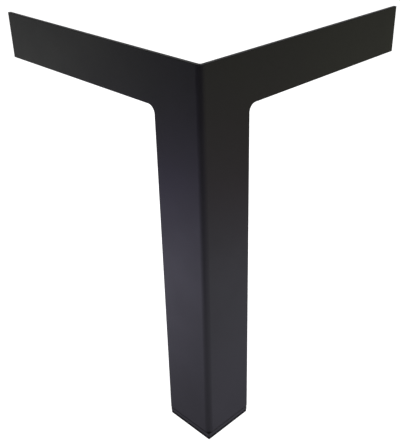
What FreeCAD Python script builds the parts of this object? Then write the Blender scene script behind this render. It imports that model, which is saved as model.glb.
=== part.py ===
import FreeCAD, Part
import math
import os

# A corner leg for a table: two arms at a right angle over a square leg. Lengths are in millimetres.
# The origin is the centre of the foot's underside, +Z is up, and the arms point along +X and +Y.

# Overall form
LEG_HEIGHT = 410.0  # floor to the top edge of the arms
LEG_WIDTH = 60.0  # outside of the square leg
ARM_REACH = 290.0  # outer corner to the end of an arm
ARM_HEIGHT = 48.0  # depth of an arm's face

# Folded sheet
SHEET = 4.0  # thickness of the folded sheet
BEND_RADIUS = 2.0  # inside radius of each fold
NOTCH_RADIUS = 8.0  # where an arm's lower edge runs into the leg
EDGE_ROUND = 0.5  # rounding that deburring and the coat leave on an edge

# Foot
FOOT_THICKNESS = 5.0  # plate welded under the leg
FOOT_CORNER_RADIUS = 1.2
FOOT_TOP_ROUND = 1.0  # rounding of its upper edge, which draws the joint line
PAD_THICKNESS = 3.5  # glide pad under the foot plate
PAD_INSET = 0.3  # how far the pad stays inside the foot plate
PAD_CORNER_RADIUS = 1.0

# Mounting plate between the arms
PLATE_THICKNESS = 4.0
PLATE_LIFT = 5.0  # its underside above the arms' lower edge, where the weld lies
PLATE_TAIL = 74.0  # how far it runs along an arm beyond the leg
PLATE_END_WIDTH = 36.0  # its width at the end of an arm's tail
PLATE_CORNER_CUT = 5.0  # cut corner that clears the fold and lets the coat drain
PLATE_CORNER_RADIUS = 4.0  # rounding of its free corners
SCREW_HOLE = 5.5  # for 5 mm wood screws
SCREW_SETBACK = 16.0  # screw line to the arm's inner face
SCREW_SIDE_MARGIN = 22.0  # first hole to the side of the leg
SCREW_END_MARGIN = 14.0  # last hole to the end of the plate
VENT_HOLE = 10.0  # vents the closed leg through the mounting plate

# Weld runs on the hidden side
WELD_LEG = 3.5  # leg of the fillet weld
WELD_CROWN = 0.56  # height of its crown, as a share of the leg: 0.5 would be flat
STITCH_COUNT = 2  # stitches along each arm
STITCH_LENGTH = 22.0
WELD_END_GAP = 6.0  # where the run round the leg stops short of the arms

# Worked out from the sizes above
HALF = LEG_WIDTH / 2
BEND_OUTER = BEND_RADIUS + SHEET
FOOT_BOTTOM = PAD_THICKNESS
SHEET_BOTTOM = PAD_THICKNESS + FOOT_THICKNESS
ARM_BOTTOM = LEG_HEIGHT - ARM_HEIGHT
PLATE_BOTTOM = ARM_BOTTOM + PLATE_LIFT
INNER_FACE = SHEET - HALF  # inner face of an arm, in x or in y
PLATE_END = HALF + PLATE_TAIL
SCREW_LINE = INNER_FACE + SCREW_SETBACK
DIAGONAL = math.sqrt(0.5)
BEYOND = 1.0  # how far a cutter runs past what it cuts
NEAR = 0.01  # closer than this counts as the same place


def vec(x, y, z=0.0):
    return FreeCAD.Vector(x, y, z)


def line(start, end):
    return Part.LineSegment(start, end).toShape()


def arc(start, middle, end):
    return Part.Arc(start, middle, end).toShape()


def prism(edges, direction):
    """A solid from a closed outline, carried along a direction."""
    return Part.Face(Part.Wire(edges)).extrude(direction)


def across_diagonal(shape):
    """The same shape on the other arm: x and y change places."""
    return shape.mirror(vec(0, 0), vec(1, -1))


def save(name, shape):
    if not shape.isValid():
        raise ValueError(name + " isn't a valid shape")
    shape.exportStep("parts/" + name + ".step")


def folded_angle(reach, bottom, top):
    """A sheet folded once: outer corner on the Z axis, a leg along +X and one along +Y."""
    outer = BEND_OUTER - BEND_OUTER * DIAGONAL
    inner = BEND_OUTER - BEND_RADIUS * DIAGONAL
    outline = [
        line(vec(BEND_OUTER, 0), vec(reach, 0)),
        line(vec(reach, 0), vec(reach, SHEET)),
        line(vec(reach, SHEET), vec(BEND_OUTER, SHEET)),
        arc(vec(BEND_OUTER, SHEET), vec(inner, inner), vec(SHEET, BEND_OUTER)),
        line(vec(SHEET, BEND_OUTER), vec(SHEET, reach)),
        line(vec(SHEET, reach), vec(0, reach)),
        line(vec(0, reach), vec(0, BEND_OUTER)),
        arc(vec(0, BEND_OUTER), vec(outer, outer), vec(BEND_OUTER, 0)),
    ]
    angle = prism(outline, vec(0, 0, top - bottom))
    angle.translate(vec(0, 0, bottom))
    return angle


def notch():
    """What is cut out of the blank under the +X arm, with the rounded inner corner."""
    low = SHEET_BOTTOM - BEYOND
    far = ARM_REACH + BEYOND
    side = LEG_WIDTH
    corner = NOTCH_RADIUS * (1 - DIAGONAL)
    outline = [
        line(vec(side, -BEYOND, low), vec(side, -BEYOND, ARM_BOTTOM - NOTCH_RADIUS)),
        arc(
            vec(side, -BEYOND, ARM_BOTTOM - NOTCH_RADIUS),
            vec(side + corner, -BEYOND, ARM_BOTTOM - corner),
            vec(side + NOTCH_RADIUS, -BEYOND, ARM_BOTTOM),
        ),
        line(vec(side + NOTCH_RADIUS, -BEYOND, ARM_BOTTOM), vec(far, -BEYOND, ARM_BOTTOM)),
        line(vec(far, -BEYOND, ARM_BOTTOM), vec(far, -BEYOND, low)),
        line(vec(far, -BEYOND, low), vec(side, -BEYOND, low)),
    ]
    return prism(outline, vec(0, SHEET + 2 * BEYOND, 0))


def edges_where(shape, test):
    return [edge for edge in shape.Edges if test(edge)]


def middle_of(edge):
    return edge.valueAt((edge.FirstParameter + edge.LastParameter) / 2)


def on_blank_outline(edge):
    """True for the outer face's border: not for the lines where a flat runs into the fold."""
    middle = middle_of(edge)
    across = min(middle.x, middle.y)
    along = max(middle.x, middle.y)
    bend_line = across < NEAR and along < BEND_OUTER + NEAR
    on_flat = across < NEAR and not bend_line
    on_fold = along < BEND_OUTER * (1 - DIAGONAL) + NEAR
    return on_flat or on_fold


def on_top_inside(edge):
    """True for the inner edge along the top of both arms and round the fold."""
    middle = middle_of(edge)
    return middle.z > LEG_HEIGHT - NEAR and min(middle.x, middle.y) > SHEET - NEAR


def corner_sheet():
    """Both arms and the two outer faces of the leg: one T-shaped blank, folded along its middle."""
    sheet = folded_angle(ARM_REACH, SHEET_BOTTOM, LEG_HEIGHT)
    sheet = sheet.cut(notch()).cut(across_diagonal(notch())).removeSplitter()
    rounded = edges_where(sheet, lambda edge: on_blank_outline(edge) or on_top_inside(edge))
    sheet = sheet.makeFillet(EDGE_ROUND, rounded)
    sheet.translate(vec(-HALF, -HALF))
    return sheet


def rear_angle():
    """Closes the leg behind the two outer faces, up to the mounting plate, and sits inside them."""
    angle = folded_angle(LEG_WIDTH - SHEET, SHEET_BOTTOM, PLATE_BOTTOM)
    angle.rotate(vec(0, 0), vec(0, 0, 1), 180)
    angle.translate(vec(HALF, HALF))
    return angle


def square_slab(width, thickness, corner_radius, bottom):
    """A flat square with rounded upright corners, centred on the Z axis."""
    slab = Part.makeBox(width, width, thickness, vec(-width / 2, -width / 2, bottom))
    upright = edges_where(slab, lambda edge: edge.BoundBox.ZLength > thickness / 2)
    return slab.makeFillet(corner_radius, upright)


def round_hole(x, y, diameter, bottom, thickness):
    return Part.makeCylinder(diameter / 2, thickness + 2 * BEYOND, vec(x, y, bottom - BEYOND))


def foot_plate():
    plate = square_slab(LEG_WIDTH, FOOT_THICKNESS, FOOT_CORNER_RADIUS, FOOT_BOTTOM)
    upper = edges_where(plate, lambda edge: edge.BoundBox.ZMin > SHEET_BOTTOM - NEAR)
    plate = plate.makeFillet(FOOT_TOP_ROUND, upper)
    lower = edges_where(plate, lambda edge: edge.BoundBox.ZMax < FOOT_BOTTOM + NEAR)
    return plate.makeFillet(EDGE_ROUND, lower)


def glide_pad():
    pad = square_slab(LEG_WIDTH - 2 * PAD_INSET, PAD_THICKNESS, PAD_CORNER_RADIUS, 0.0)
    under = edges_where(pad, lambda edge: edge.BoundBox.ZMax < NEAR)
    return pad.makeFillet(EDGE_ROUND, under)


def screw_places():
    """Hole centres in the +X arm's row: from beside the leg to near the end of the plate."""
    return [HALF + SCREW_SIDE_MARGIN, PLATE_END - SCREW_END_MARGIN]


def mounting_plate():
    """A five-sided plate with a cut corner: it closes the leg's top and carries the screw holes."""
    near = INNER_FACE
    wide = INNER_FACE + PLATE_END_WIDTH
    cut = near + PLATE_CORNER_CUT
    points = [(cut, near), (PLATE_END, near), (PLATE_END, wide), (wide, PLATE_END), (near, PLATE_END), (near, cut)]
    corners = [vec(x, y, PLATE_BOTTOM) for x, y in points]
    outline = [line(a, b) for a, b in zip(corners, corners[1:] + corners[:1])]
    plate = prism(outline, vec(0, 0, PLATE_THICKNESS))
    free = edges_where(
        plate,
        lambda edge: edge.BoundBox.ZLength > PLATE_THICKNESS / 2
        and max(edge.BoundBox.XMax, edge.BoundBox.YMax) > PLATE_END - BEYOND,
    )
    plate = plate.makeFillet(PLATE_CORNER_RADIUS, free)
    for along in screw_places():
        plate = plate.cut(round_hole(along, SCREW_LINE, SCREW_HOLE, PLATE_BOTTOM, PLATE_THICKNESS))
        plate = plate.cut(round_hole(SCREW_LINE, along, SCREW_HOLE, PLATE_BOTTOM, PLATE_THICKNESS))
    return plate.cut(round_hole(0, 0, VENT_HOLE, PLATE_BOTTOM, PLATE_THICKNESS))


def weld_section(root, out):
    """The closed outline of a fillet weld: along the plate's underside, down the wall, crowned between."""
    tip = root + out * WELD_LEG
    toe = root - vec(0, 0, WELD_LEG)
    crown = root + (out - vec(0, 0, 1)) * (WELD_CROWN * WELD_LEG)
    return [line(root, tip), arc(tip, crown, toe), line(toe, root)]


def arm_stitches():
    """Stitch welds under the mounting plate, along one arm's inner face."""
    step = PLATE_TAIL / STITCH_COUNT
    stitches = []
    for count in range(STITCH_COUNT):
        start = HALF + step * (count + 0.5) - STITCH_LENGTH / 2
        root = vec(start, INNER_FACE, PLATE_BOTTOM)
        stitches.append(prism(weld_section(root, vec(0, 1)), vec(STITCH_LENGTH, 0, 0)))
    return stitches


def arm_welds():
    stitches = arm_stitches()
    return Part.Compound(stitches + [across_diagonal(stitch) for stitch in stitches])


def leg_weld():
    """One run under the mounting plate, round the outside of the rear angle."""
    start = INNER_FACE + WELD_END_GAP
    bend = HALF - BEND_OUTER
    middle = bend + BEND_OUTER * DIAGONAL
    path = Part.Wire([
        line(vec(HALF, start, PLATE_BOTTOM), vec(HALF, bend, PLATE_BOTTOM)),
        arc(vec(HALF, bend, PLATE_BOTTOM), vec(middle, middle, PLATE_BOTTOM), vec(bend, HALF, PLATE_BOTTOM)),
        line(vec(bend, HALF, PLATE_BOTTOM), vec(start, HALF, PLATE_BOTTOM)),
    ])
    section = Part.Wire(weld_section(vec(HALF, start, PLATE_BOTTOM), vec(1, 0)))
    return path.makePipeShell([section], True, False)


def main():
    os.makedirs("parts", exist_ok=True)
    save("corner_sheet", corner_sheet())
    save("rear_angle", rear_angle())
    save("foot_plate", foot_plate())
    save("glide_pad", glide_pad())
    save("mounting_plate", mounting_plate())
    save("arm_welds", arm_welds())
    save("leg_weld", leg_weld())


main()
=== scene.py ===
import math

import bpy
import numpy as np
from mathutils import Matrix, Vector


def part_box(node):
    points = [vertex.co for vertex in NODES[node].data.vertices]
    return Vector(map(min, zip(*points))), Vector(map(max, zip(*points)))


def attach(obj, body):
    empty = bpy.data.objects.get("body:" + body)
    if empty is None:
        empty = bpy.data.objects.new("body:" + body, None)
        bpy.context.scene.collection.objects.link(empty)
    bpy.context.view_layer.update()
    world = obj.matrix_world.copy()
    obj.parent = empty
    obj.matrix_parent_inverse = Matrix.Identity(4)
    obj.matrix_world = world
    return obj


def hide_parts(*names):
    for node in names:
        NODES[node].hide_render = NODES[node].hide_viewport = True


bl_info = {
    "name": "Square Table Leg Finish",
    "version": (1, 0, 0),
    "blender": (4, 5, 0),
    "location": "View3D > Sidebar > Table Leg",
    "description": "Powder coat, weld runs, glide pad and studio for a folded steel corner leg",
    "category": "Object",
}

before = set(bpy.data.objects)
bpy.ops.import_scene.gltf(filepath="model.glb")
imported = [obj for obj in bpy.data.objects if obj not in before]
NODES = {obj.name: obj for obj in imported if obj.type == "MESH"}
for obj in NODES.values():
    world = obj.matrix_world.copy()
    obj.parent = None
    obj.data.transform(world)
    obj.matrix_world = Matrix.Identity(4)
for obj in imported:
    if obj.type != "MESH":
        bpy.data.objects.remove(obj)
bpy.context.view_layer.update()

# Places read from the frame, in metres
PLATE_LOW, PLATE_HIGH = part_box("mounting_plate")
LEG_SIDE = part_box("rear_angle")[1].x
LEG_RUN_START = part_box("leg_weld")[0].x
INNER_FACE = PLATE_LOW.x
UNDERSIDE = PLATE_LOW.z
WELD_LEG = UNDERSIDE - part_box("arm_welds")[0].z

# Sizes of the part's source that the frame doesn't hold, lengths in metres
BEND_OUTER = 0.006
STITCH_COUNT = 2
STITCH_LENGTH = 0.022

# Form of a weld run. The crown is the place of the face's middle as a share of the leg, 0.5 if flat.
# A wobble is its share of the leg, its wavelength over two pi in metres and its phase
WELD_CROWN = 0.56
WELD_FACE_POINTS = 11
WELD_END_SHARE = 0.12
SLOW_WOBBLE = (0.035, 0.0061, 0.7)
QUICK_WOBBLE = (0.025, 0.0023, 2.1)
RIPPLE_BEND = 1.1
RIPPLE_STEEPNESS = 0.6
POINTS_A_RIPPLE = 9

# Coat: the noise values between which clouds and flecks set in, the most that a fleck thins the
# powder, the roughness that one unit of each adds, and the grain's share in the height
CLOUD_EDGES = (0.32, 0.68)
FLECK_EDGES = (0.35, 0.75)
FLECK_THINNING = 0.35
CLOUD_ROUGHNESS = 0.06
FLECK_ROUGHNESS = 0.12
GRAIN_SHARE = 0.35
COAT_IOR = 1.5

# Rubber: scales of its dimples, grain and smudges per metre, the depth of its surface in metres, the
# noise values between which smudges set in, and what they do to the roughness and the tone
RUBBER_PEEL_SCALE = 900.0
RUBBER_GRAIN_SCALE = 3000.0
RUBBER_SMUDGE_SCALE = 120.0
RUBBER_DEPTH = 0.00004
SMUDGE_EDGES = (0.3, 0.7)
SMUDGE_ROUGHNESS = 0.08
SMUDGE_TONE_EDGES = (0.35, 0.7)
SMUDGE_TONE = 1.5
RUBBER_IOR = 1.3

# Stage: lengths in metres, directions from the X axis
FLOOR_REACH = 4.0
FLOOR_DROP = 0.0001
SEEN_FLOOR_GREY = 0.5
SEEN_FLOOR_LIGHT = 0.8
SURROUND_LIFT = 0.0005
SURROUND_SIDES = 96
LEFT_HEADING = math.radians(135.0)
BACK_HEADING = math.radians(45.0)
KEY_SIZE = 1.6
KEY_PLACE = (-0.3, -0.3, 1.9)
KEY_TARGET = (0.0, 0.0, 0.2)

# Size of the picture in pixels, and width of the camera's sensor in millimetres
PICTURE_SIZE = (400.0, 440.0)
SENSOR_WIDTH = 36.0

BLACK = (0.0, 0.0, 0.0, 1.0)
WHITE = (1.0, 1.0, 1.0, 1.0)
METAL_NODES = ("corner_sheet", "rear_angle", "foot_plate", "mounting_plate")


class CoatSettings(bpy.types.PropertyGroup):
    """Sizes and colours of the powder coat."""

    colour: bpy.props.FloatVectorProperty(
        name="Coat colour", description="Colour of the powder coat", subtype="COLOR",
        size=3, min=0.0, max=1.0, default=(0.0030, 0.0029, 0.0032),
    )
    thin_colour: bpy.props.FloatVectorProperty(
        name="Thin coat colour", description="Colour where the coat is thinner", subtype="COLOR",
        size=3, min=0.0, max=1.0, default=(0.0046, 0.0044, 0.0049),
    )
    roughness: bpy.props.FloatProperty(
        name="Roughness", description="Mean roughness of the satin coat", subtype="FACTOR",
        min=0.0, max=1.0, default=0.42,
    )
    cloud_size: bpy.props.FloatProperty(
        name="Cloud size", description="Width of the faint patches of tone", unit="LENGTH",
        min=0.005, max=1.0, default=0.07,
    )
    peel_size: bpy.props.FloatProperty(
        name="Peel size", description="Width of the dimples that the melted powder leaves", unit="LENGTH",
        min=0.0002, max=0.02, default=0.0012,
    )
    peel_depth: bpy.props.FloatProperty(
        name="Peel depth", description="Depth of those dimples", unit="LENGTH",
        min=0.0, max=0.001, default=0.00006,
    )
    grain_size: bpy.props.FloatProperty(
        name="Grain size", description="Width of the fine grain", unit="LENGTH",
        min=0.0001, max=0.01, default=0.00045,
    )


class WeldSettings(bpy.types.PropertyGroup):
    """Sizes of the weld runs under the mounting plate."""

    ripple_pitch: bpy.props.FloatProperty(
        name="Ripple pitch", description="Distance between two ripples of a weld", unit="LENGTH",
        min=0.0003, max=0.01, default=0.0015,
    )
    ripple_height: bpy.props.FloatProperty(
        name="Ripple height", description="Height of a ripple", unit="LENGTH",
        min=0.0, max=0.002, default=0.00022,
    )
    end_taper: bpy.props.FloatProperty(
        name="End taper", description="Length over which a weld runs out", unit="LENGTH",
        min=0.0005, max=0.02, default=0.0035,
    )


class PadSettings(bpy.types.PropertyGroup):
    """Colour of the glide pad."""

    colour: bpy.props.FloatVectorProperty(
        name="Pad colour", description="Colour of the rubber", subtype="COLOR",
        size=3, min=0.0, max=1.0, default=(0.003, 0.003, 0.003),
    )
    roughness: bpy.props.FloatProperty(
        name="Roughness", description="Roughness of the rubber", subtype="FACTOR",
        min=0.0, max=1.0, default=0.75,
    )


class StageSettings(bpy.types.PropertyGroup):
    """Camera, floor and light."""

    camera_place: bpy.props.FloatVectorProperty(
        name="Camera place", description="Where the camera stands", subtype="TRANSLATION", unit="LENGTH",
        size=3, default=(-0.4129, -0.4274, 0.5737),
    )
    camera_heading: bpy.props.FloatProperty(
        name="Heading", description="Direction of the view, turned right from the line between the arms",
        subtype="ANGLE", unit="ROTATION", default=0.0002,
    )
    camera_dip: bpy.props.FloatProperty(
        name="Dip", description="How far the view looks down",
        subtype="ANGLE", unit="ROTATION", default=0.4903,
    )
    camera_roll: bpy.props.FloatProperty(
        name="Roll", description="Turn about the line of view",
        subtype="ANGLE", unit="ROTATION", default=0.0156,
    )
    focal_pixels: bpy.props.FloatProperty(
        name="Focal length", description="Focal length in pixels of the 400 by 440 picture",
        min=50.0, default=706.38,
    )
    centre_pixels: bpy.props.FloatVectorProperty(
        name="View centre", description="Pixel that the line of view passes through",
        size=2, default=(215.23, 210.06),
    )
    floor_colour: bpy.props.FloatVectorProperty(
        name="Floor colour", description="Colour of the floor", subtype="COLOR",
        size=3, min=0.0, max=1.0, default=(0.8, 0.8, 0.8),
    )
    surround_radius: bpy.props.FloatProperty(
        name="Surround radius", description="Radius of the surround that the coat mirrors", unit="LENGTH",
        min=0.3, default=0.7,
    )
    surround_height: bpy.props.FloatProperty(
        name="Surround height", description="Height of the surround's wall", unit="LENGTH",
        min=0.1, default=1.3,
    )
    near_floor: bpy.props.FloatVectorProperty(
        name="Near floor", description="Mirrored floor in the shadow of the foot", subtype="COLOR",
        size=3, min=0.0, max=2.0, default=(0.513, 0.492, 0.609),
    )
    left_floor: bpy.props.FloatVectorProperty(
        name="Left floor", description="Mirrored open floor on the left", subtype="COLOR",
        size=3, min=0.0, max=2.0, default=(1.405, 1.352, 1.719),
    )
    right_floor: bpy.props.FloatVectorProperty(
        name="Right floor", description="Mirrored open floor on the right", subtype="COLOR",
        size=3, min=0.0, max=2.0, default=(0.695, 0.700, 0.809),
    )
    left_rim: bpy.props.FloatVectorProperty(
        name="Left rim", description="Mirrored floor far out on the left", subtype="COLOR",
        size=3, min=0.0, max=2.0, default=(0.758, 0.662, 1.128),
    )
    right_rim: bpy.props.FloatVectorProperty(
        name="Right rim", description="Mirrored floor far out on the right", subtype="COLOR",
        size=3, min=0.0, max=2.0, default=(0.327, 0.200, 0.261),
    )
    left_side: bpy.props.FloatVectorProperty(
        name="Left side", description="Mirrored wall on the left", subtype="COLOR",
        size=3, min=0.0, max=2.0, default=(0.543, 0.551, 0.533),
    )
    right_side: bpy.props.FloatVectorProperty(
        name="Right side", description="Mirrored wall on the right", subtype="COLOR",
        size=3, min=0.0, max=2.0, default=(0.322, 0.326, 0.254),
    )
    floor_fade: bpy.props.FloatVectorProperty(
        name="Floor fade", description="Distances between which the mirrored floor turns from near to open",
        unit="LENGTH", size=2, min=0.0, default=(0.0, 0.384),
    )
    rim_fade: bpy.props.FloatVectorProperty(
        name="Rim fade", description="Distances between which the open floor turns to the rim's tone",
        unit="LENGTH", size=2, min=0.0, default=(0.432, 0.508),
    )
    wall_fade: bpy.props.FloatVectorProperty(
        name="Wall fade", description="Heights between which the mirrored wall darkens to black",
        unit="LENGTH", size=2, min=0.0, default=(0.383, 0.404),
    )
    wall_gap: bpy.props.FloatProperty(
        name="Wall gap", description="Direction of the dark gap in the wall, from the X axis",
        subtype="ANGLE", unit="ROTATION", default=math.radians(194.6),
    )
    wall_gap_fade: bpy.props.FloatVectorProperty(
        name="Wall gap fade",
        description="Cosines off that direction between which the wall darkens to black",
        size=2, min=-1.0, max=1.0, default=(0.278, 0.496),
    )
    floor_shade: bpy.props.FloatProperty(
        name="Floor shade", description="How much darker the mirrored floor is in its shaded direction",
        subtype="FACTOR", min=0.0, max=1.0, default=0.240,
    )
    floor_shade_heading: bpy.props.FloatProperty(
        name="Floor shade heading", description="The shaded direction of the floor, from the X axis",
        subtype="ANGLE", unit="ROTATION", default=math.radians(171.6),
    )
    floor_shade_fade: bpy.props.FloatVectorProperty(
        name="Floor shade fade", description="Cosines off that direction between which the floor darkens",
        size=2, min=-1.0, max=1.0, default=(-0.247, 0.949),
    )
    front_heading: bpy.props.FloatProperty(
        name="Front heading", description="The front direction, from the X axis",
        subtype="ANGLE", unit="ROTATION", default=math.radians(210.0),
    )
    front_shade: bpy.props.FloatProperty(
        name="Front shade", description="How much darker the mirrored floor is in front of the leg",
        subtype="FACTOR", min=0.0, max=1.0, default=0.575,
    )
    front_shade_fade: bpy.props.FloatVectorProperty(
        name="Front shade fade",
        description="Cosines off the front direction between which the floor darkens",
        size=2, min=-1.0, max=2.0, default=(0.893, 0.992),
    )
    front_shade_start: bpy.props.FloatVectorProperty(
        name="Front shade start", description="Distances between which the front shade sets in",
        unit="LENGTH", size=2, default=(-0.065, 0.628),
    )
    back_side: bpy.props.FloatVectorProperty(
        name="Back side", description="Mirrored wall behind the leg, which the top edges show",
        subtype="COLOR", size=3, min=0.0, max=2.0, default=(0.4, 0.4, 0.4),
    )
    back_side_fade: bpy.props.FloatVectorProperty(
        name="Back side fade",
        description="Cosines off straight back between which the wall turns to that tone",
        size=2, min=-1.0, max=1.0, default=(0.6, 0.85),
    )
    front_light: bpy.props.FloatVectorProperty(
        name="Front light", description="Mirrored light high in front, which catches the corners",
        subtype="COLOR", size=3, min=0.0, max=4.0, default=(1.5, 1.5, 1.5),
    )
    front_light_heading: bpy.props.FloatProperty(
        name="Front light heading", description="Direction of that light, from the X axis",
        subtype="ANGLE", unit="ROTATION", default=math.radians(250.0),
    )
    front_light_fade: bpy.props.FloatVectorProperty(
        name="Front light fade", description="Cosines off that direction between which the light sets in",
        size=2, min=-1.0, max=1.0, default=(0.80, 0.95),
    )
    front_light_height: bpy.props.FloatVectorProperty(
        name="Front light height", description="Heights between which the light sets in",
        unit="LENGTH", size=2, min=0.0, default=(0.65, 0.95),
    )
    world_level: bpy.props.FloatProperty(
        name="World level", description="Strength of the even light from all round",
        min=0.0, max=2.0, default=0.45,
    )
    key_power: bpy.props.FloatProperty(
        name="Key power", description="Power of the large light above", unit="POWER", min=0.0, default=38.0,
    )


class Nodes:
    """Places shader nodes in a tree and joins them."""

    def __init__(self, tree):
        self.tree = tree

    def add(self, kind, inputs=None, **values):
        node = self.tree.nodes.new(kind)
        for name, value in values.items():
            setattr(node, name, value)
        for name, value in (inputs or {}).items():
            self.give(node.inputs[name], value)
        return node

    def give(self, socket, value):
        if isinstance(value, bpy.types.NodeSocket):
            self.tree.links.new(value, socket)
        else:
            socket.default_value = value

    def math(self, operation, first, second=None, third=None, clamp=False):
        node = self.add("ShaderNodeMath", operation=operation, use_clamp=clamp)
        for place, value in enumerate((first, second, third)):
            if value is not None:
                self.give(node.inputs[place], value)
        return node.outputs[0]

    def noise(self, vector, scale, detail=2.0, roughness=0.5):
        node = self.add(
            "ShaderNodeTexNoise",
            {"Vector": vector, "Scale": scale, "Detail": detail, "Roughness": roughness},
        )
        return node.outputs["Fac"]

    def ramp(self, value, low, high, to_low=0.0, to_high=1.0, smooth=True):
        node = self.add(
            "ShaderNodeMapRange",
            {"Value": value, "From Min": low, "From Max": high, "To Min": to_low, "To Max": to_high},
            interpolation_type="SMOOTHSTEP" if smooth else "LINEAR",
        )
        return node.outputs[0]

    def mix_colour(self, factor, first, second):
        node = self.add("ShaderNodeMix", data_type="RGBA")
        self.give(node.inputs[0], factor)
        self.give(node.inputs[6], first)
        self.give(node.inputs[7], second)
        return node.outputs[2]

    def bump(self, height):
        node = self.add("ShaderNodeBump", {"Strength": 1.0, "Distance": 1.0, "Height": height})
        return node.outputs["Normal"]

    def show(self, shader, output="ShaderNodeOutputMaterial"):
        """Sends a shader's socket to the surface output of the tree."""
        self.add(output, {"Surface": shader})


def with_alpha(colour):
    return (*colour, 1.0)


def new_group(name, inputs, outputs):
    """An empty shader node group with named sockets: (name, socket type, default) each."""
    group = bpy.data.node_groups.new(name, "ShaderNodeTree")
    for label, kind, default in inputs:
        socket = group.interface.new_socket(label, in_out="INPUT", socket_type=kind)
        if default is not None:
            socket.default_value = default
    for label, kind in outputs:
        group.interface.new_socket(label, in_out="OUTPUT", socket_type=kind)
    build = Nodes(group)
    return group, build, build.add("NodeGroupInput").outputs, build.add("NodeGroupOutput").inputs


def powder_tone_group():
    """Colour and roughness of the coat: soft clouds of thicker and thinner powder with a fine fleck."""
    group, build, given, result = new_group(
        "Powder tone",
        [
            ("Vector", "NodeSocketVector", None),
            ("Thick", "NodeSocketColor", None),
            ("Thin", "NodeSocketColor", None),
            ("Cloud scale", "NodeSocketFloat", 14.0),
            ("Grain scale", "NodeSocketFloat", 2200.0),
            ("Roughness", "NodeSocketFloat", 0.42),
        ],
        [("Color", "NodeSocketColor"), ("Roughness", "NodeSocketFloat")],
    )
    cloud = build.noise(given["Vector"], given["Cloud scale"], detail=3.0, roughness=0.55)
    cloud = build.ramp(cloud, *CLOUD_EDGES)
    fleck = build.noise(given["Vector"], given["Grain scale"], detail=2.0, roughness=0.6)
    fleck = build.ramp(fleck, *FLECK_EDGES, 0.0, FLECK_THINNING)
    mixed = build.math("ADD", cloud, fleck, clamp=True)
    build.give(result["Color"], build.mix_colour(mixed, given["Thick"], given["Thin"]))
    spread = build.math("MULTIPLY_ADD", cloud, CLOUD_ROUGHNESS, -CLOUD_ROUGHNESS / 2)
    fine = build.math("MULTIPLY_ADD", fleck, FLECK_ROUGHNESS, spread)
    build.give(result["Roughness"], build.math("ADD", given["Roughness"], fine, clamp=True))
    return group


def powder_surface_group():
    """Height of the coat in metres: shallow dimples of melted powder under a finer grain."""
    group, build, given, result = new_group(
        "Powder surface",
        [
            ("Vector", "NodeSocketVector", None),
            ("Peel scale", "NodeSocketFloat", 600.0),
            ("Grain scale", "NodeSocketFloat", 2200.0),
            ("Depth", "NodeSocketFloat", 0.00002),
        ],
        [("Height", "NodeSocketFloat")],
    )
    peel = build.noise(given["Vector"], given["Peel scale"], detail=2.0, roughness=0.45)
    grain = build.noise(given["Vector"], given["Grain scale"], detail=1.0, roughness=0.5)
    both = build.math("MULTIPLY_ADD", grain, GRAIN_SHARE, peel)
    build.give(result["Height"], build.math("MULTIPLY", both, given["Depth"]))
    return group


def build_material(name, base):
    """An empty node material with its plain colour, and the helper that fills it."""
    material = bpy.data.materials.new(name)
    material.use_nodes = True
    material.node_tree.nodes.clear()
    material.diffuse_color = with_alpha(base)
    build = Nodes(material.node_tree)
    return material, build


def powder_coat_material(settings, tone, surface):
    """Satin black powder coat on steel."""
    material, build = build_material("Satin powder coat", settings.colour)
    place = build.add("ShaderNodeTexCoord").outputs["Object"]
    colour = build.add(
        "ShaderNodeGroup",
        {
            "Vector": place,
            "Thick": with_alpha(settings.colour),
            "Thin": with_alpha(settings.thin_colour),
            "Cloud scale": 1.0 / settings.cloud_size,
            "Grain scale": 1.0 / settings.grain_size,
            "Roughness": settings.roughness,
        },
        node_tree=tone,
    )
    height = build.add(
        "ShaderNodeGroup",
        {
            "Vector": place,
            "Peel scale": 1.0 / settings.peel_size,
            "Grain scale": 1.0 / settings.grain_size,
            "Depth": settings.peel_depth,
        },
        node_tree=surface,
    )
    shader = build.add(
        "ShaderNodeBsdfPrincipled",
        {
            "Base Color": colour.outputs["Color"],
            "Roughness": colour.outputs["Roughness"],
            "Normal": build.bump(height.outputs["Height"]),
            "Metallic": 0.0,
            "IOR": COAT_IOR,
        },
    )
    build.show(shader.outputs["BSDF"])
    return material


def rubber_material(settings, surface):
    """Matt black rubber with a fine moulded grain."""
    material, build = build_material("Pad rubber", settings.colour)
    place = build.add("ShaderNodeTexCoord").outputs["Object"]
    height = build.add(
        "ShaderNodeGroup",
        {
            "Vector": place,
            "Peel scale": RUBBER_PEEL_SCALE,
            "Grain scale": RUBBER_GRAIN_SCALE,
            "Depth": RUBBER_DEPTH,
        },
        node_tree=surface,
    )
    smudge = build.noise(place, RUBBER_SMUDGE_SCALE, detail=3.0, roughness=0.5)
    least, most = settings.roughness - SMUDGE_ROUGHNESS, settings.roughness + SMUDGE_ROUGHNESS
    rough = build.ramp(smudge, *SMUDGE_EDGES, least, most)
    shade = build.mix_colour(
        build.ramp(smudge, *SMUDGE_TONE_EDGES),
        with_alpha(settings.colour),
        with_alpha([SMUDGE_TONE * part for part in settings.colour]),
    )
    shader = build.add(
        "ShaderNodeBsdfPrincipled",
        {
            "Base Color": shade,
            "Roughness": rough,
            "Normal": build.bump(height.outputs["Height"]),
            "IOR": RUBBER_IOR,
        },
    )
    build.show(shader.outputs["BSDF"])
    return material


def paint(piece, material):
    """Puts one material in every slot of an object."""
    if not piece.material_slots:
        piece.data.materials.append(material)
    for place in piece.material_slots:
        place.material = material


def shared_surface():
    """The surface group, made once and used by the coat and the rubber."""
    return bpy.data.node_groups.get("Powder surface") or powder_surface_group()


def coat():
    """The powder coat, made once and used by every steel piece."""
    found = bpy.data.materials.get("Satin powder coat")
    if found:
        return found
    tone = powder_tone_group()
    return powder_coat_material(bpy.context.scene.table_leg_coat, tone, shared_surface())


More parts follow.
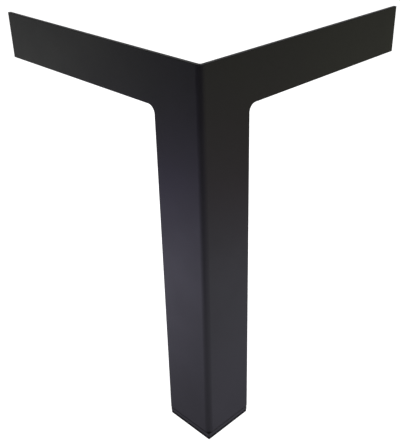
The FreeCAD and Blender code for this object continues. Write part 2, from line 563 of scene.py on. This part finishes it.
def smooth_mesh(name, points, faces):
    """A smooth-shaded object at the origin, from an array of points and a list of faces."""
    mesh = bpy.data.meshes.new(name)
    mesh.from_pydata(points.tolist(), [], faces)
    mesh.update()
    mesh.polygons.foreach_set("use_smooth", np.ones(len(mesh.polygons), bool))
    piece = bpy.data.objects.new(name, mesh)
    bpy.context.scene.collection.objects.link(piece)
    return piece


def ring_faces(rows, ring):
    """Quads of a tube of `rows` rings with `ring` points each, and one face to close each end."""
    row, place = np.meshgrid(np.arange(rows - 1), np.arange(ring), indexing="ij")
    after = (place + 1) % ring
    near, far = row * ring, (row + 1) * ring
    quads = np.stack([near + place, near + after, far + after, far + place], -1)
    first = list(range(ring - 1, -1, -1))
    last = list(range((rows - 1) * ring, rows * ring))
    return quads.reshape(-1, 4).tolist() + [first, last]


def wave(along, share, length, phase):
    """A sine along the run: its share of the leg, its wavelength over two pi in metres, its phase."""
    return share * np.sin(along / length + phase)


def weld_run(path, outward, settings):
    """Points and faces of one fillet weld.

    path is the inner corner under the plate, outward the level direction away from the wall, both as
    arrays along the run. A section goes from the toe on the plate round the crown to the toe on the
    wall, and then to the corner. Its leg is the weld's leg times an end taper and times a wobble. The
    taper is a quarter circle: the root of one minus the square of what is left to its inner end, as a
    share of its length, and never less than the end's share. The wobble is one plus two sines, cut off
    at one. The crown is a parabola over the flat face, and each ripple adds a short steep rise and a
    long fall, with its phase bent back towards the toes so that it forms a crescent.
    """
    steps = np.linalg.norm(np.diff(path, axis=0), axis=1)
    along = np.concatenate([[0.0], np.cumsum(steps)])
    total = along[-1]
    to_end = np.minimum(along, total - along)
    taper = np.clip(to_end / settings.end_taper, 0.0, 1.0)
    taper = np.maximum(np.sqrt(1.0 - (1.0 - taper) ** 2), WELD_END_SHARE)
    wobble = 1.0 + wave(along, *SLOW_WOBBLE) + wave(along, *QUICK_WOBBLE)
    leg = (WELD_LEG * taper * np.minimum(wobble, 1.0))[:, None]
    across = np.linspace(0.0, 1.0, WELD_FACE_POINTS)[None, :]
    bow = 4.0 * across * (1.0 - across)
    phase = (along[:, None] / settings.ripple_pitch - RIPPLE_BEND * (1.0 - bow)) % 1.0
    rise = np.sin(np.pi * phase ** RIPPLE_STEEPNESS) - 0.5
    ripple = settings.ripple_height * rise * bow * taper[:, None]
    lift = (WELD_CROWN - 0.5) * leg * bow + ripple
    level = leg * (1.0 - across) + lift
    down = leg * across + lift
    up = np.array([0.0, 0.0, 1.0])
    surface = path[:, None, :] + outward[:, None, :] * level[..., None] - up * down[..., None]
    section = np.concatenate([surface, path[:, None, :]], axis=1)
    return section.reshape(-1, 3), ring_faces(len(path), section.shape[1])


def straight(start, end, spacing):
    """Points from start to end, about the spacing apart."""
    count = max(int(np.linalg.norm(end - start) / spacing), 2)
    return start + (end - start) * np.linspace(0.0, 1.0, count)[:, None]


def stitch_path(along_x, centre, spacing):
    """The corner line of one stitch under an arm, and its outward direction."""
    start, end = centre - STITCH_LENGTH / 2, centre + STITCH_LENGTH / 2
    first, last = np.array([start, INNER_FACE, UNDERSIDE]), np.array([end, INNER_FACE, UNDERSIDE])
    path = straight(first, last, spacing)
    outward = np.tile([0.0, 1.0, 0.0], (len(path), 1))
    if not along_x:
        path, outward = path[::-1, [1, 0, 2]], outward[:, [1, 0, 2]]
    return path, outward


def leg_run_path(spacing):
    """The corner line round the outside of the rear angle: a side, a quarter circle and a side."""
    bend = LEG_SIDE - BEND_OUTER
    first, last = np.array([LEG_SIDE, LEG_RUN_START, UNDERSIDE]), np.array([LEG_SIDE, bend, UNDERSIDE])
    side = straight(first, last, spacing)
    count = int(BEND_OUTER * math.pi / 2 / spacing)
    angle = np.linspace(0.0, math.pi / 2, count)[1:-1]
    round_x, round_y = np.cos(angle), np.sin(angle)
    level = np.zeros_like(angle)
    turn = np.stack([bend + BEND_OUTER * round_x, bend + BEND_OUTER * round_y, level + UNDERSIDE], -1)
    path = np.concatenate([side, turn, side[::-1, [1, 0, 2]]])
    outward = np.concatenate([
        np.tile([1.0, 0.0, 0.0], (len(side), 1)),
        np.stack([round_x, round_y, level], -1),
        np.tile([0.0, 1.0, 0.0], (len(side), 1)),
    ])
    return path[::-1], outward[::-1]


def add_weld(name, runs, node, settings):
    """One object from several weld runs, standing for the plain CAD weld."""
    points, faces, count = [], [], 0
    for path, outward in runs:
        run_points, run_faces = weld_run(path, outward, settings)
        points.append(run_points)
        faces += [[corner + count for corner in face] for face in run_faces]
        count += len(run_points)
    piece = smooth_mesh(name, np.concatenate(points), faces)
    paint(piece, coat())
    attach(piece, "root")
    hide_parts(node)


class TABLELEG_OT_coat_steel(bpy.types.Operator):
    """Coat the folded sheet, the rear angle, the foot plate and the mounting plate"""

    bl_idname = "table_leg.coat_steel"
    bl_label = "Coat steel"

    def execute(self, context):
        for name in METAL_NODES:
            paint(NODES[name], coat())
        return {"FINISHED"}


class TABLELEG_OT_add_welds(bpy.types.Operator):
    """Lay the rippled weld runs under the mounting plate"""

    bl_idname = "table_leg.add_welds"
    bl_label = "Add welds"

    def execute(self, context):
        settings = context.scene.table_leg_welds
        spacing = settings.ripple_pitch / POINTS_A_RIPPLE
        step = (PLATE_HIGH.x - LEG_SIDE) / STITCH_COUNT
        centres = [LEG_SIDE + step * (count + 0.5) for count in range(STITCH_COUNT)]
        arms = (True, False)
        stitches = [stitch_path(along_x, centre, spacing) for along_x in arms for centre in centres]
        add_weld("arm_weld_runs", stitches, "arm_welds", settings)
        add_weld("leg_weld_run", [leg_run_path(spacing)], "leg_weld", settings)
        return {"FINISHED"}


class TABLELEG_OT_finish_pad(bpy.types.Operator):
    """Give the glide pad its rubber"""

    bl_idname = "table_leg.finish_pad"
    bl_label = "Finish pad"

    def execute(self, context):
        paint(NODES["glide_pad"], rubber_material(context.scene.table_leg_pad, shared_surface()))
        return {"FINISHED"}


def background_rays(build):
    """One for the rays that show the background: camera, glossy and transmission rays."""
    path = build.add("ShaderNodeLightPath").outputs
    shown = build.math("MAXIMUM", path["Is Camera Ray"], path["Is Glossy Ray"])
    return build.math("MAXIMUM", shown, path["Is Transmission Ray"])


def floor_material(settings):
    """A pale floor, plain for the light that it throws back and lifted to white where it is seen."""
    material, build = build_material("Pale floor", settings.floor_colour)
    plain = build.add("ShaderNodeBsdfDiffuse", {"Color": with_alpha(settings.floor_colour)})
    shaded = build.add("ShaderNodeBsdfDiffuse", {"Color": with_alpha(3 * (SEEN_FLOOR_GREY,))})
    lift = build.add("ShaderNodeEmission", {"Color": WHITE, "Strength": SEEN_FLOOR_LIGHT})
    lifted = build.add("ShaderNodeAddShader")
    build.give(lifted.inputs[0], shaded.outputs[0])
    build.give(lifted.inputs[1], lift.outputs[0])
    choice = build.add("ShaderNodeMixShader")
    build.give(choice.inputs[0], background_rays(build))
    build.give(choice.inputs[1], plain.outputs[0])
    build.give(choice.inputs[2], lifted.outputs[0])
    build.show(choice.outputs[0])
    return material


def add_floor(settings):
    """A square sheet just under the foot."""
    turns = ((-1, -1), (1, -1), (1, 1), (-1, 1))
    corners = [(FLOOR_REACH * x, FLOOR_REACH * y, -FLOOR_DROP) for x, y in turns]
    mesh = bpy.data.meshes.new("floor")
    mesh.from_pydata(corners, [], [tuple(range(len(corners)))])
    mesh.materials.append(floor_material(settings))
    sheet = bpy.data.objects.new("floor", mesh)
    bpy.context.scene.collection.objects.link(sheet)


def surround_material(settings):
    """What the satin coat mirrors, as plain light.

    The floor goes from a near tone at the foot to an open tone and then to a rim tone with distance.
    It is shaded in one direction, and in front of the leg the more, the farther out. The wall has a
    black gap and turns black with height. Straight back it has a tone of its own at every height, and
    high in front it holds a light. The open floor, the rim and the wall go from their right tone to
    their left tone in proportion to how far a direction from the leg's axis lies towards the left.
    What sets in round a direction follows the cosine of the angle from it.
    """
    material, build = build_material("Surround", settings.left_floor)
    coordinates = build.add("ShaderNodeTexCoord").outputs["Object"]
    place = build.add("ShaderNodeSeparateXYZ", {"Vector": coordinates}).outputs
    square_x = build.math("MULTIPLY", place["X"], place["X"])
    away = build.math("SQRT", build.math("MULTIPLY_ADD", place["Y"], place["Y"], square_x))

    def blend(factor, first, second):
        return build.mix_colour(factor, with_alpha(first), with_alpha(second))

    def towards(heading):
        along_x = build.math("MULTIPLY", place["X"], math.cos(heading))
        both = build.math("MULTIPLY_ADD", place["Y"], math.sin(heading), along_x)
        return build.math("DIVIDE", both, away)

    left = build.math("MULTIPLY_ADD", towards(LEFT_HEADING), 0.5, 0.5, clamp=True)
    open_floor = blend(left, settings.right_floor, settings.left_floor)
    rim = blend(left, settings.right_rim, settings.left_rim)
    open_floor = build.mix_colour(build.ramp(away, *settings.rim_fade), open_floor, rim)
    opening = build.ramp(away, *settings.floor_fade)
    floor = build.mix_colour(opening, with_alpha(settings.near_floor), open_floor)
    shaded = towards(settings.floor_shade_heading)
    shade = build.ramp(shaded, *settings.floor_shade_fade, 0.0, settings.floor_shade)
    floor = build.mix_colour(shade, floor, BLACK)
    ahead = towards(settings.front_heading)
    front = build.ramp(ahead, *settings.front_shade_fade, 0.0, settings.front_shade)
    front = build.math("MULTIPLY", front, build.ramp(away, *settings.front_shade_start))
    floor = build.mix_colour(front, floor, BLACK)
    side = blend(left, settings.right_side, settings.left_side)
    gap = build.ramp(towards(settings.wall_gap), *settings.wall_gap_fade)
    wall = build.mix_colour(gap, side, BLACK)
    wall = build.mix_colour(build.ramp(place["Z"], *settings.wall_fade), wall, BLACK)
    behind = build.ramp(towards(BACK_HEADING), *settings.back_side_fade)
    wall = build.mix_colour(behind, wall, with_alpha(settings.back_side))
    sideways = build.ramp(towards(settings.front_light_heading), *settings.front_light_fade)
    lit = build.math("MULTIPLY", sideways, build.ramp(place["Z"], *settings.front_light_height))
    wall = build.mix_colour(lit, wall, with_alpha(settings.front_light))
    on_wall = build.math("GREATER_THAN", place["Z"], 2.0 * SURROUND_LIFT)
    tone = build.mix_colour(on_wall, floor, wall)
    glow = build.add("ShaderNodeEmission", {"Color": tone, "Strength": 1.0})
    build.show(glow.outputs[0])
    return material


def add_surround(settings):
    """A closed drum round the leg, from floor to lid, which only mirror rays meet."""
    count = SURROUND_SIDES
    turn = np.linspace(0.0, 2.0 * math.pi, count, endpoint=False)
    ring = settings.surround_radius * np.stack([np.cos(turn), np.sin(turn)], -1)
    levels = [SURROUND_LIFT, settings.surround_height]
    points = np.concatenate([np.column_stack([ring, np.full(count, level)]) for level in levels])
    after = (np.arange(count) + 1) % count
    wall = np.stack([np.arange(count), after, after + count, np.arange(count) + count], -1)
    ends = [list(range(count)), list(range(count, 2 * count))]
    mesh = bpy.data.meshes.new("surround")
    mesh.from_pydata(points.tolist(), [], ends + wall.tolist())
    mesh.materials.append(surround_material(settings))
    surround = bpy.data.objects.new("surround", mesh)
    bpy.context.scene.collection.objects.link(surround)
    surround.visible_camera = False
    surround.visible_diffuse = False
    surround.visible_transmission = False
    surround.visible_volume_scatter = False
    surround.visible_shadow = False


def add_world(settings):
    """Even grey light all round, and white where the background itself is seen."""
    world = bpy.data.worlds.new("Studio")
    world.use_nodes = True
    world.node_tree.nodes.clear()
    build = Nodes(world.node_tree)
    level = build.ramp(background_rays(build), 0.0, 1.0, settings.world_level, 1.0, smooth=False)
    background = build.add("ShaderNodeBackground", {"Color": WHITE, "Strength": level})
    build.show(background.outputs[0], "ShaderNodeOutputWorld")
    bpy.context.scene.world = world


def add_key_lamp(settings):
    """The large lamp above, which mirror rays don't meet because they meet the surround."""
    lamp = bpy.data.lights.new("key", "AREA")
    lamp.energy = settings.key_power
    lamp.shape = "RECTANGLE"
    lamp.size, lamp.size_y = KEY_SIZE, KEY_SIZE
    holder = bpy.data.objects.new("key", lamp)
    holder.location = KEY_PLACE
    direction = Vector(KEY_TARGET) - Vector(KEY_PLACE)
    holder.rotation_euler = direction.to_track_quat("-Z", "Y").to_euler()
    holder.visible_glossy = False
    bpy.context.scene.collection.objects.link(holder)


def add_camera(settings):
    """The camera at the photographed view, from its place, heading, dip and roll."""
    heading = BACK_HEADING - settings.camera_heading
    dip = settings.camera_dip
    level = Vector((math.cos(heading), math.sin(heading), 0.0))
    forward = level * math.cos(dip) - Vector((0.0, 0.0, math.sin(dip)))
    right = Vector((math.sin(heading), -math.cos(heading), 0.0))
    down = forward.cross(right)
    turn = settings.camera_roll
    rolled_right = right * math.cos(turn) + down * math.sin(turn)
    rolled_down = down * math.cos(turn) - right * math.sin(turn)
    data = bpy.data.cameras.new("view")
    width, height = PICTURE_SIZE
    long_side = max(PICTURE_SIZE)
    data.sensor_width = SENSOR_WIDTH
    data.lens = settings.focal_pixels / long_side * data.sensor_width
    data.shift_x = (width / 2 - settings.centre_pixels[0]) / long_side
    data.shift_y = (settings.centre_pixels[1] - height / 2) / long_side
    camera = bpy.data.objects.new("view", data)
    axes = Matrix((rolled_right, -rolled_down, -forward)).transposed().to_4x4()
    camera.matrix_world = Matrix.Translation(Vector(settings.camera_place)) @ axes
    bpy.context.scene.collection.objects.link(camera)
    bpy.context.scene.camera = camera


class TABLELEG_OT_set_stage(bpy.types.Operator):
    """Set the floor, the light and the camera"""

    bl_idname = "table_leg.set_stage"
    bl_label = "Set stage"

    def execute(self, context):
        settings = context.scene.table_leg_stage
        add_floor(settings)
        add_surround(settings)
        add_world(settings)
        add_key_lamp(settings)
        add_camera(settings)
        context.scene.view_settings.view_transform = "Standard"
        return {"FINISHED"}


class TABLELEG_PT_sidebar(bpy.types.Panel):
    """Lists the steps that finish the leg"""

    bl_idname = "TABLELEG_PT_sidebar"
    bl_label = "Table Leg"
    bl_space_type = "VIEW_3D"
    bl_region_type = "UI"
    bl_category = "Table Leg"

    def draw(self, context):
        scene = context.scene
        for group, operator in (
            (scene.table_leg_coat, TABLELEG_OT_coat_steel),
            (scene.table_leg_welds, TABLELEG_OT_add_welds),
            (scene.table_leg_pad, TABLELEG_OT_finish_pad),
            (scene.table_leg_stage, TABLELEG_OT_set_stage),
        ):
            box = self.layout.box()
            for name in group.__annotations__:
                box.prop(group, name)
            box.operator(operator.bl_idname)


SETTINGS = {
    "table_leg_coat": CoatSettings,
    "table_leg_welds": WeldSettings,
    "table_leg_pad": PadSettings,
    "table_leg_stage": StageSettings,
}
OPERATORS = (TABLELEG_OT_coat_steel, TABLELEG_OT_add_welds, TABLELEG_OT_finish_pad, TABLELEG_OT_set_stage)


def register():
    for group in SETTINGS.values():
        bpy.utils.register_class(group)
    for name, group in SETTINGS.items():
        setattr(bpy.types.Scene, name, bpy.props.PointerProperty(type=group))
    for operator in OPERATORS:
        bpy.utils.register_class(operator)
    bpy.utils.register_class(TABLELEG_PT_sidebar)


def unregister():
    bpy.utils.unregister_class(TABLELEG_PT_sidebar)
    for operator in reversed(OPERATORS):
        bpy.utils.unregister_class(operator)
    for name, group in SETTINGS.items():
        delattr(bpy.types.Scene, name)
        bpy.utils.unregister_class(group)


def main():
    register()
    bpy.ops.table_leg.coat_steel()
    bpy.ops.table_leg.add_welds()
    bpy.ops.table_leg.finish_pad()
    bpy.ops.table_leg.set_stage()


if __name__ == "__main__":
    main()
